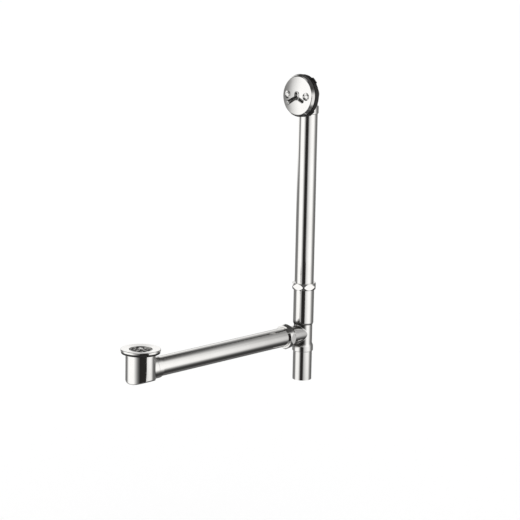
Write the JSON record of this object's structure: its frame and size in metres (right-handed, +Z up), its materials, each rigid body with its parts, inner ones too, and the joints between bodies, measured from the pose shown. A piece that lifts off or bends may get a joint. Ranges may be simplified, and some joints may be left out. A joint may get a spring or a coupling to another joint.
{
  "type": "bath waste and overflow",
  "caption": "Trip-lever bath waste and overflow: drain flange and shoe, waste arm, tee with outlet tail, overflow riser and a domed plate whose lever lifts a plunger inside the tee.",
  "frame": {"origin": "drain axis at the tub floor, under the drain flange", "axes": "+X from the drain to the overflow riser, +Z up"},
  "size_m": [0.507, 0.0844, 0.6198],
  "materials": {
    "polished_chrome": "polished chrome plate on brass",
    "black_rubber": "matte moulded rubber",
    "raw_brass": "unplated turned brass",
    "spring_steel": "plain spring steel"
  },
  "bodies": {
    "fixed": {"drain_flange": "polished_chrome", "strainer": "polished_chrome", "strainer_screw": "polished_chrome", "shoe_gasket": "black_rubber", "drain_shoe": "polished_chrome", "waste_tube": "polished_chrome", "waste_slip_nut": "polished_chrome", "waste_slip_washer": "black_rubber", "waste_tee": "polished_chrome", "tailpiece": "polished_chrome", "overflow_slip_nut": "polished_chrome", "overflow_slip_washer": "black_rubber", "overflow_tube": "polished_chrome", "overflow_elbow": "polished_chrome", "overflow_gasket": "black_rubber", "face_plate": "polished_chrome", "face_plate_screws": "polished_chrome", "lever_bracket": "spring_steel", "lever_pivot_pin": "raw_brass", "lever_friction_washer": "spring_steel"},
    "lever": {"trip_lever": "polished_chrome"},
    "linkage": {"linkage_pin": "raw_brass", "connecting_rod": "raw_brass", "lock_nut": "raw_brass", "plunger": "raw_brass"}
  },
  "joints": [
    {"name": "trip_lever_turn", "type": "hinge", "parent": "fixed", "child": "lever", "pos_m": [0.41661, 0, 0.44394], "axis": [0, 1, 0], "range_deg": [0, 40]},
    {"name": "plunger_lift", "type": "slide", "parent": "fixed", "child": "linkage", "axis": [0, 0, 1], "range_m": [-0.0203, 0]}
  ],
  "couplings": [
    {"joint": "trip_lever_turn", "follows": "plunger_lift", "rad_per_m": -34.383}
  ]
}
